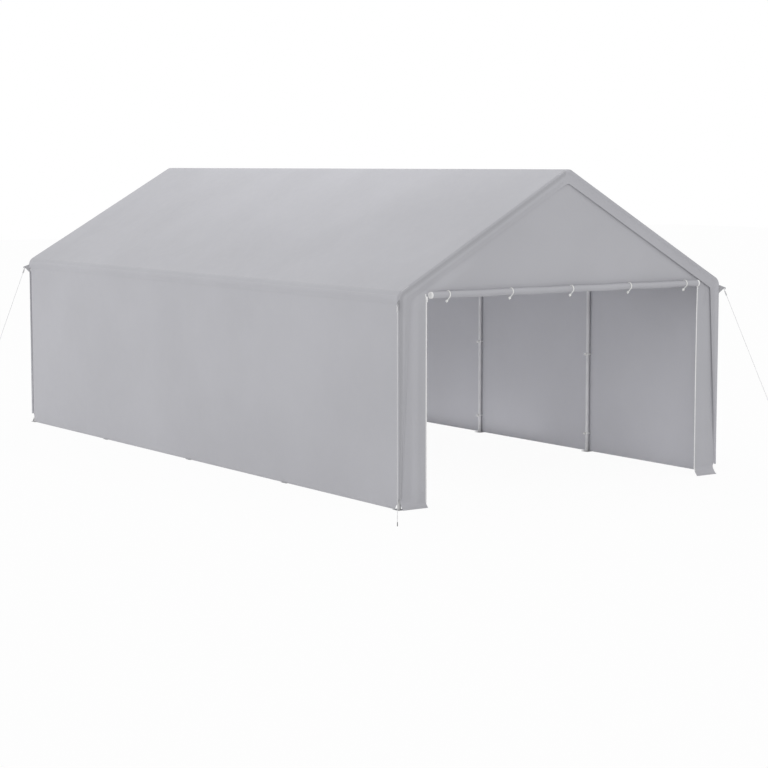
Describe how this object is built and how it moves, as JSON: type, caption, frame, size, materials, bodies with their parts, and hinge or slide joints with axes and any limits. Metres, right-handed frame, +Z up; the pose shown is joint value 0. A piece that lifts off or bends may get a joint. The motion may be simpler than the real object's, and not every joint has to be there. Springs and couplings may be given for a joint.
{
  "type": "carport",
  "caption": "Fabric carport: grey woven cover with side walls and rolled-up end curtains on a gabled frame of white steel tubes, stayed by guy ropes at the corners.",
  "frame": {"origin": "on the ground, at the middle of the plan", "axes": "+Z up, +Y along the length towards the rear end, +X across to the right wall"},
  "size_m": [4.9976, 9.3938, 3.1412],
  "materials": {
    "cover_cloth": "woven coated polyethylene, grey, low sheen",
    "frame_steel": "white powder coat, satin",
    "zip_white": "white coil zip on tape",
    "tab_grey": "dark grey webbing",
    "rope_white": "white braided cord",
    "peg_steel": "galvanised, dull"
  },
  "bodies": {
    "root": {"roof_cover": "cover_cloth", "left_wall": "cover_cloth", "right_wall": "cover_cloth", "front_band": "cover_cloth", "front_gable": "cover_cloth", "front_left_jamb": "cover_cloth", "front_right_jamb": "cover_cloth", "front_door_roll": "cover_cloth", "rear_band": "cover_cloth", "rear_gable": "cover_cloth", "rear_left_jamb": "cover_cloth", "rear_right_jamb": "cover_cloth", "rear_door_roll": "cover_cloth", "left_leg_1": "frame_steel", "right_leg_1": "frame_steel", "left_leg_2": "frame_steel", "right_leg_2": "frame_steel", "left_leg_3": "frame_steel", "right_leg_3": "frame_steel", "left_leg_4": "frame_steel", "right_leg_4": "frame_steel", "left_leg_5": "frame_steel", "right_leg_5": "frame_steel", "left_feet": "frame_steel", "right_feet": "frame_steel", "left_rafters": "frame_steel", "right_rafters": "frame_steel", "ridge_fittings": "frame_steel", "left_eave_fittings": "frame_steel", "right_eave_fittings": "frame_steel", "ridge_purlin": "frame_steel", "left_eave_purlin": "frame_steel", "right_eave_purlin": "frame_steel", "front_zips": "zip_white", "rear_zips": "zip_white", "corner_tabs": "tab_grey", "front_left_rope": "rope_white", "front_right_rope": "rope_white", "rear_left_rope": "rope_white", "rear_right_rope": "rope_white", "ground_pegs": "peg_steel"}
  },
  "joints": []
}
